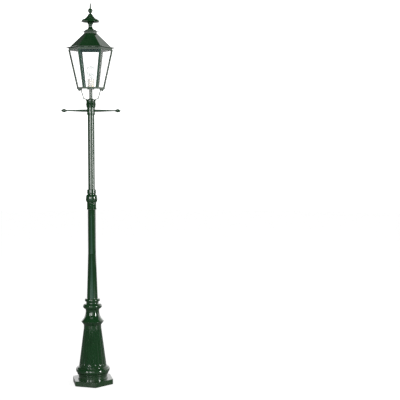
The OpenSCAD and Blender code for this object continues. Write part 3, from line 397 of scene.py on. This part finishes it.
Z_DRUM, Z_CONE = low("base_drum"), low("fluted_cone")
Z_NECK, Z_SLEEVE = low("pedestal_neck"), low("flared_sleeve")
Z_LOWER, Z_KNOT = low("lower_shaft"), low("middle_knot")
Z_UPPER, Z_SOCKET = high("middle_knot"), low("head_socket")
Z_CAP, Z_BAND = high("head_socket"), low("bottom_ring")
Z_BAR = (low("ladder_bar") + high("ladder_bar")) / 2
Z_MID, Z_HOLDER_TOP = low("holder_collar"), high("holder_collar")
Z_VENT, Z_HOOD = low("vent_neck"), high("vent_neck") + 5
Z_BALL, Z_SPIKE, Z_TOP = low("finial_ball"), low("finial_spike") + 7.6, high("finial_spike")
CORE_R, SHAFT_R, LOWER_R = 19.4, 22.5, 25.0
CONE_FOOT_R, CONE_TOP_R = 89, 56.5
SLEEVE_FOOT_R, SLEEVE_TAPER = 35, 9.7
LEDGE = 6            # the drum's last step under the cone
TORUS_H, TORUS_R, TORUS_ROOT_R = 37, 109.5, 95.5
RING_H, RINGS = 8.5, 5
BAR_HALF, BAR_TIP = 156, 170
BAR_THIN_R, BAR_GROWTH, BAR_TAPER = 4.4, 3.4, 122
PIN_R = 3.4          # the pins under the bar's two ends
HOOD_WALL = 2.2
BULB_R, BULB_WALL, BULB_REACH = 30.5, 0.9, 82    # it reaches that far above its holder


# ---- pedestal ----

def pedestal():
    softened("foot_plate", "post", IRON_GREEN, 1.6, 3)

    z_torus = Z_CONE - LEDGE - TORUS_H
    z_step = z_torus - 7
    outline = [(97.5, Z_DRUM)] + arc(97.5, Z_DRUM + 4.5, 93.5, Z_DRUM + 9, -1) \
        + arc(93.5, z_step - 7, 100.5, z_step, 1) + [(100.5, z_torus)] \
        + swell(z_torus, TORUS_H, TORUS_ROOT_R, TORUS_R, 22) \
        + arc(TORUS_ROOT_R, Z_CONE - LEDGE, 91, Z_CONE, 1)
    iron(turned(outline, 128, CORE_R, 0.7), "pedestal_drum", "base_drum")

    z1 = Z_NECK + 23
    z2, z3 = z1 + 4, z1 + 58
    z4, z5 = z3 + 24, z3 + 45
    z6, z7 = z5 + 12, z5 + 28
    outline = [(CONE_TOP_R, Z_NECK), (72.5, z1), (72.5, z2)] + arc(70.5, z2, 44, z3, 1, 1.5, 22) \
        + arc(44, z3, 46.5, z4, 1, 1.6, 8) + arc(46.5, z4, 61.5, z5, -1) \
        + arc(60.5, z5, 48, z6, -1) + arc(43, z6, 41, z7, 1, 0.9) + swell(z7, 19, 44, 49, 16)
    iron(turned(outline, 112, CORE_R, 0.6), "pedestal_top_mouldings", "pedestal_neck")


def fluted_casting():
    """The cone's casting, with its flutes pressed in between plain lands."""
    flutes, columns, rows = 16, 16, 90
    soft = 0.35                               # how gently a flute's edge turns over
    plain = -3.0                              # stands for a place that no flute reaches
    wall_r = 30                               # everything inside this is the casting's bore
    foot_cutter_r, cutter_taper, bite = 18, 6, 2.6
    pitch = 2 * math.pi / flutes
    z_band = Z_NECK - 20
    fall = (CONE_FOOT_R - CONE_TOP_R) / (z_band - Z_CONE)
    z0, z1 = Z_CONE + 21, z_band - 10.5       # the centres of a flute's round ends
    levels = [Z_CONE + (z_band - Z_CONE) * i / rows for i in range(rows + 1)]
    outline = [(CONE_FOOT_R - fall * (z - Z_CONE), z) for z in levels] + [(CONE_TOP_R, Z_NECK)]
    bm = turned(outline, flutes * columns, CORE_R, 0)
    for v in bm.verts:
        z, r = v.co.z / MM, math.hypot(v.co.x, v.co.y) / MM
        if r < wall_r or not Z_CONE + 2 < z < z_band - 0.5:
            continue
        t = min(max((z - z0) / (z1 - z0), 0), 1)
        cutter = foot_cutter_r - cutter_taper * t
        d = r + cutter - bite
        past = max(z0 - z, z - z1, 0)
        turn = math.atan2(v.co.y, v.co.x) / pitch - 0.5
        off = (turn - round(turn)) * pitch
        inside = cutter ** 2 - past ** 2 - (d * math.sin(off)) ** 2
        depth = r - (d * math.cos(off) - math.sqrt(inside)) if inside > 0 else plain
        depth = (depth + math.sqrt(depth * depth + soft * soft)) / 2 if depth > plain else 0
        v.co.x *= (r - depth) / r
        v.co.y *= (r - depth) / r
    bmesh.ops.recalc_face_normals(bm, faces=bm.faces)
    iron(bm, "fluted_pedestal_casting", "fluted_cone", smooth=50)


# ---- shafts, knot and socket ----

def shafts():
    sleeve = [(SLEEVE_FOOT_R - SLEEVE_TAPER * i / 12, Z_SLEEVE + (Z_LOWER - Z_SLEEVE) * i / 12)
              for i in range(1, 13)]
    iron(turned([(SLEEVE_FOOT_R, Z_SLEEVE)] + sleeve, 96, CORE_R, 0.2), "tapered_sleeve", "flared_sleeve")
    tube(turned([(LOWER_R, Z_LOWER), (LOWER_R, high("lower_shaft"))], 96, LOWER_R - 3.5, 0.4),
         "lower_tube", "lower_shaft")
    tube(turned([(SHAFT_R, low("upper_shaft")), (SHAFT_R, high("upper_shaft"))], 96, SHAFT_R - 3, 0.3),
         "upper_tube", "upper_shaft")

    stem_r, stem_bore, flange_r, flange_h, edge = 11.2, 9.2, 24, 3, 0.3
    z_flange = Z_BAND - flange_h
    tube(turned([(stem_r, low("stem_tube")), (stem_r, z_flange), (flange_r - edge, z_flange),
                 (flange_r, Z_BAND - 2.7), (flange_r, Z_BAND)], 72, stem_bore, 0.2), "stem_pipe", "stem_tube")

    z1, z2 = Z_KNOT + 9, Z_KNOT + 47
    z3, z4, z5 = z2 + 50, z2 + 57, z2 + 61
    band, collar = SHAFT_R + 9.3, SHAFT_R + 7.5
    outline = swell(Z_KNOT, 9, 29, 33) + [(band, z1), (band, z2)] + swell(z2, 50, band - 2, 38.5, 24) \
        + [(27.5, z3), (27.5, z4)] + swell(z4, 4, 30.5, 32.5, 10) \
        + [(collar, z5), (collar, Z_UPPER - 2), (collar - 2, Z_UPPER)]
    iron(turned(outline, 112, CORE_R, 0.5), "middle_knot_casting", "middle_knot")


def flank(x, thick, growth):
    """Half a wave of the ladder bar's outline, from x on."""
    return [(thick + growth * (1 - math.cos(math.pi * i / 16)) / 2, x + BAR_TAPER * i / 16)
            for i in range(17)]


def socket():
    z1, z2 = Z_SOCKET + 6.5, Z_SOCKET + 45
    z3 = z2 + RINGS * RING_H
    rings = []
    for i in range(RINGS):
        rings += swell(z2 + i * RING_H, RING_H, 28, SHAFT_R + 11 - 1.5 * abs(i - 2), 14)
    outline = swell(Z_SOCKET, 6.5, 27.5, 30, 12) + [(26.5, z1), (26.5, z2)] + rings \
        + [(32, z3), (33, z3 + 1), (33, Z_CAP - 1), (32, Z_CAP)]
    iron(turned(outline, 112, 22.8, 0.4), "ringed_socket", "head_socket")
    outline = [(21, Z_CAP), (21, Z_CAP + 1)] + arc(21, Z_CAP + 1, 12.7, Z_CAP + 8, -1)
    iron(turned(outline, 96, 11.5, 0.4), "domed_cap", "socket_cap")

    thick = BAR_THIN_R + BAR_GROWTH
    inner = BAR_HALF - BAR_TAPER
    outline = [(PIN_R, -BAR_TIP), (PIN_R, -BAR_HALF), (BAR_THIN_R, -BAR_HALF)] \
        + flank(-BAR_HALF, BAR_THIN_R, BAR_GROWTH) + [(thick, inner)] + flank(inner, thick, -BAR_GROWTH) \
        + [(PIN_R, BAR_HALF), (PIN_R, BAR_TIP)]
    iron(laid(turned(outline, 64, 0, 0.2), 1, 0, Z_BAR), "tapered_bar", "ladder_bar")
    outline = swell(0, 3.2, 6.1, 7.6, 12) + [(5.4, 3.4)] + arc(5.4, 4.2, 11, 13.6, -1, 0.75, 18) \
        + arc(11, 15.3, 1.6, 34, -1, 1.1, 24)
    for tip, side in ((-1, "left"), (1, "right")):
        bm = laid(turned(outline, 72, 3.5, 0.3), tip, tip * BAR_HALF, Z_BAR)
        iron(bm, "acorn_" + side, "bar_end_" + side)


# ---- roof furniture ----

def chimney():
    z1 = Z_VENT + 3
    z2, z3 = z1 + 23, z1 + 34
    outline = swell(Z_VENT, 3, 24, 25, 10) + arc(23, z1, 14.25, z2, 1, 0.8, 22) \
        + arc(14.25, z2, 17, z3, 1, 0.8, 18) + swell(z3, 4, 17, 19, 12) + swell(z3 + 4, 4, 17, 19, 12)
    iron(turned(outline, 96, 10.75, 0.3), "vent_neck_casting", "vent_neck", "roof")

    z1 = Z_HOOD + 3
    z2, z3 = z1 + 14.5, z1 + 21
    z4 = z3 + 12
    outside = [(59.5, Z_HOOD), (59.5, z1)] + arc(58.5, z1, 38.5, z2, -1, 0.8, 22) \
        + arc(37.5, z2, 31, z3, -1, 0.9, 14) + arc(28, z3, 20, z4, -1, 0.9, 16) \
        + arc(18, z4, 7, Z_BALL - 2, -1, 0.8, 18) + [(7, Z_BALL)]
    bore = 4.3
    inside = [(57.3, Z_HOOD), (57.3, z1)] + arc(56.3, z1 + 0.01, 35.3, z2 - HOOD_WALL, -1, 0.8, 22) \
        + [(25.8, z3 - HOOD_WALL), (15.8, z4 - HOOD_WALL), (8, z4 - 3), (8, Z_HOOD - 5), (bore, Z_HOOD - 5)]
    iron(turned(outside + [(bore, Z_BALL)] + inside[::-1], 128, closed=True, soften=0.45),
         "bell_hood", "hood", "roof")

    ridge0, ridge1 = Z_BALL + 16, Z_BALL + 19
    ball_r, spike_r = 14.5, 3.8
    upper_half = [(ball_r * math.cos(a), ridge1 + ball_r * math.sin(a))
                  for a in (math.acos(5 / ball_r) * i / 18 for i in range(19))]
    outline = [(7, Z_BALL), (7, Z_BALL + 1), (5.5, Z_BALL + 2.5)] \
        + arc(6, Z_BALL + 3.5, ball_r, ridge0, -1, 0.8, 20) + swell(ridge0, 3, 16.5, 17.5, 12) + upper_half
    iron(turned(outline, 96, 2.6, 0.25), "ridged_ball", "finial_ball", "roof")
    blunt_end = [(spike_r * math.cos(a), Z_TOP - spike_r + spike_r * math.sin(a))
                 for a in (math.radians(90 * i / 12) for i in range(13))]
    outline = [(2.5, low("finial_spike")), (2.5, Z_SPIKE), (5, Z_SPIKE), (5, Z_SPIKE + 1)] + blunt_end
    iron(turned(outline, 64, 0, 0.25), "blunt_spike", "finial_spike", "roof")


# ---- lamp ----

def bulb_outline(inset, z_cap, n=16):
    """The bulb from its foot in the cap to its crown, drawn so far inside its outer face."""
    z_bulb = Z_HOLDER_TOP + BULB_REACH - BULB_R
    neck = math.radians(30)
    r = BULB_R - inset
    crown = [-neck + (math.pi / 2 + neck) * i / (2 * n) for i in range(1, 2 * n + 1)]
    return [(12.2 - inset, z_cap), (15.5 - inset, z_cap + 4)] \
        + arc(15.5 - inset, z_cap + 8, r * math.cos(neck), z_bulb - r * math.sin(neck), 1, 2.4, n) \
        + [(max(r * math.cos(a), 0.0), z_bulb + r * math.sin(a)) for a in crown]


def lamp():
    outline = [(22.2, Z_MID), (22.8, Z_MID + 0.8), (22.8, Z_HOLDER_TOP - 2.4)] \
        + arc(22.8, Z_HOLDER_TOP - 2.4, 20.4, Z_HOLDER_TOP, -1, 0.75, 8)
    to_object(turned(outline, 96, 17.5, 0.3),
              "porcelain_collar", "post", "holder_collar", PORCELAIN)
    softened("holder_base", "post", PORCELAIN, 0.5, 3, name="porcelain_base")

    z_cap = high("bulb_cap")
    bm = turned(bulb_outline(0, z_cap) + bulb_outline(BULB_WALL, z_cap)[::-1], 96, closed=True, soften=0)
    to_object(bm, "blown_bulb", "bulb", "bulb_glass", BULB_GLASS, smooth=60)
    to_object(turned([(5.5, z_cap), (3.2, z_cap + 8), (2.6, z_cap + 26)], 48, 0, 0.6),
              "pressed_stem", "bulb", "bulb_stem", STEM_GLASS)


pedestal()
fluted_casting()
shafts()
socket()
chimney()
lamp()

SHEET_PIECES = (
    ("bottom_ring", "post", 0.6), ("top_frame", "post", 0.5), ("corner_bars", "post", 0.35),
    ("roof_shell", "roof", 0.6), ("eave_plate", "roof", 0.4), ("roof_collar", "roof", 0.7),
    ("top_plate", "roof", 0.6),
)
for node, body, width in SHEET_PIECES:
    softened(node, body, SHEET_GREEN, width)

CARRIED = {
    IRON_GREEN: ("bar_set_screw", "latch_bracket", "arm_nuts"),
    TUBE_GREEN: ("arm_left", "arm_right"),
    SHEET_GREEN: ("floor_plate", "glazing_strips", "hinge_leaf_frame", "hinge_leaf_roof"),
    PANE_GLASS: tuple("pane_%d" % k for k in range(1, 7)),
    ZINC: ("core_tube", "arm_bolts", "hinge_pin", "tie_rod", "tie_bridge", "tie_nut", "roof_screw"),
    BRASS: ("holder_shell", "holder_contact", "holder_screws"),
    CAP_METAL: ("bulb_cap",),
    WIRE: ("bulb_filament",),
    RUBBER: ("roof_seal",),
}
for finish, names in CARRIED.items():
    for name in names:
        for held in nodes[name].material_slots:
            held.material = finish

# ---- studio ----

def pale_floor():
    """A pale floor that shows nearly white, and gives the gloss paint only a weak reflection."""
    m, t, s, c = new_material("pale_floor")
    n = noise(t, c.outputs["Object"], 3.0, 4.0, 0.6)
    link(t, blend(t, n, (0.30, 0.30, 0.298, 1), (0.33, 0.33, 0.328, 1)), s.inputs["Base Color"])
    link(t, span(t, n, 0.3, 0.7, 0.7, 0.8), s.inputs["Roughness"])
    s.inputs["Specular IOR Level"].default_value = 0.1
    s.inputs["Emission Color"].default_value = (1, 1, 1, 1)
    s.inputs["Emission Strength"].default_value = 0.80
    far = t.nodes.new("ShaderNodeBsdfPrincipled")
    link(t, blend(t, n, (0.16, 0.16, 0.16, 1), (0.2, 0.2, 0.2, 1)), far.inputs["Base Color"])
    path = t.nodes.new("ShaderNodeLightPath")
    mix = t.nodes.new("ShaderNodeMixShader")
    link(t, path.outputs["Is Camera Ray"], mix.inputs[0])
    link(t, far.outputs[0], mix.inputs[1])
    link(t, s.outputs[0], mix.inputs[2])
    link(t, mix.outputs[0], t.nodes["Material Output"].inputs["Surface"])
    bm = bmesh.new()
    bmesh.ops.create_circle(bm, cap_ends=True, segments=96, radius=14)
    mesh = bpy.data.meshes.new("studio_floor")
    bm.to_mesh(mesh)
    bm.free()
    floor = bpy.data.objects.new("studio_floor", mesh)
    bpy.context.scene.collection.objects.link(floor)
    mesh.materials.append(m)


def soft_light(name, azimuth, distance, z0, z1, degrees, radiance):
    """An upright soft box, so many degrees wide, that faces the post.

    Azimuth 0 is in front, 90 on the right.
    """
    light = bpy.data.lights.new(name, "AREA")
    light.shape = "RECTANGLE"
    light.size = 2 * distance * math.tan(math.radians(degrees / 2))
    light.size_y = z1 - z0
    light.energy = radiance * math.pi * light.size * light.size_y
    o = bpy.data.objects.new(name, light)
    a = math.radians(azimuth)
    o.location = (distance * math.sin(a), -distance * math.cos(a), (z0 + z1) / 2)
    o.rotation_euler = (math.pi / 2, 0, a)
    bpy.context.scene.collection.objects.link(o)
    return o


def lights():
    front, foot, top = -11, 0.75, 3.1
    soft_light("wide_front_panel", front, 7.5, foot, top, 50, 1.7)
    # A cool light that lies on the floor in front and looks up.
    glow = soft_light("floor_glow", front, 8.0, -4.6, 4.6, 46, 0.6)
    glow.data.color = (0.6, 0.95, 1.0)
    glow.location.z = 0.012
    glow.rotation_euler = (math.pi, 0, glow.rotation_euler.z)
    glow.visible_camera = False
    soft_light("left_strip", -38, 7.0, foot, top, 9, 11)
    soft_light("middle_strip", -13, 7.0, foot, top, 7, 11)
    soft_light("right_strip", 56, 6.5, foot, top, 8, 30)
    soft_light("upper_front_panel", front, 4.6, 3.4, 5.6, 44, 0.9)
    soft_light("right_reflector", 118, 4.5, 0.3, 4.6, 44, 0.85)


def room():
    """A white room to the camera and through glass, darker in reflections except low down and behind."""
    world = bpy.data.worlds.new("studio")
    bpy.context.scene.world = world
    world.use_nodes = True
    t = world.node_tree
    back = t.nodes["Background"]
    way = t.nodes.new("ShaderNodeTexCoord")
    split = t.nodes.new("ShaderNodeSeparateXYZ")
    link(t, way.outputs["Generated"], split.inputs[0])
    behind = span(t, split.outputs["Y"], 0.35, 0.85, 0.07, 1.6)
    right_hand = maths(t, "MULTIPLY", span(t, split.outputs["X"], -0.2, 0.25),
                       span(t, split.outputs["Z"], 0.7, 0.6, 0.0, 0.5))
    low_down = span(t, split.outputs["Z"], 0.36, 0.24, 0.05, 1.0)
    lower = maths(t, "MULTIPLY", behind, maths(t, "MAXIMUM", right_hand, low_down))
    path = t.nodes.new("ShaderNodeLightPath")
    fill = maths(t, "MAXIMUM", lower, maths(t, "MULTIPLY", path.outputs["Is Diffuse Ray"], 0.55))
    seen = maths(t, "MAXIMUM", fill, path.outputs["Is Camera Ray"])
    link(t, maths(t, "MAXIMUM", seen, path.outputs["Is Transmission Ray"]), back.inputs["Strength"])
    back.inputs["Color"].default_value = (1.0, 1.0, 1.0, 1)


def camera():
    lens, sensor_width = 83.1, 36
    distance, height = 6.0, 1.632
    around, aside, down, roll = (math.radians(v) for v in (3.0, 6.71, 4.13, 0.07))
    cam = bpy.data.cameras.new("front_camera")
    cam.lens = lens
    cam.sensor_width = sensor_width
    o = bpy.data.objects.new("front_camera", cam)
    place = (distance * math.sin(around), -distance * math.cos(around), height)
    turn = Matrix.Rotation(around - aside, 4, "Z") @ Matrix.Rotation(math.pi / 2 - down, 4, "X")
    o.matrix_world = Matrix.Translation(place) @ turn @ Matrix.Rotation(roll, 4, "Z")
    bpy.context.scene.collection.objects.link(o)
    bpy.context.scene.camera = o


pale_floor()
lights()
room()
camera()
view = bpy.context.scene.view_settings
view.view_transform = "Standard"
view.look = "None"
view.exposure, view.gamma = 0.0, 1.0
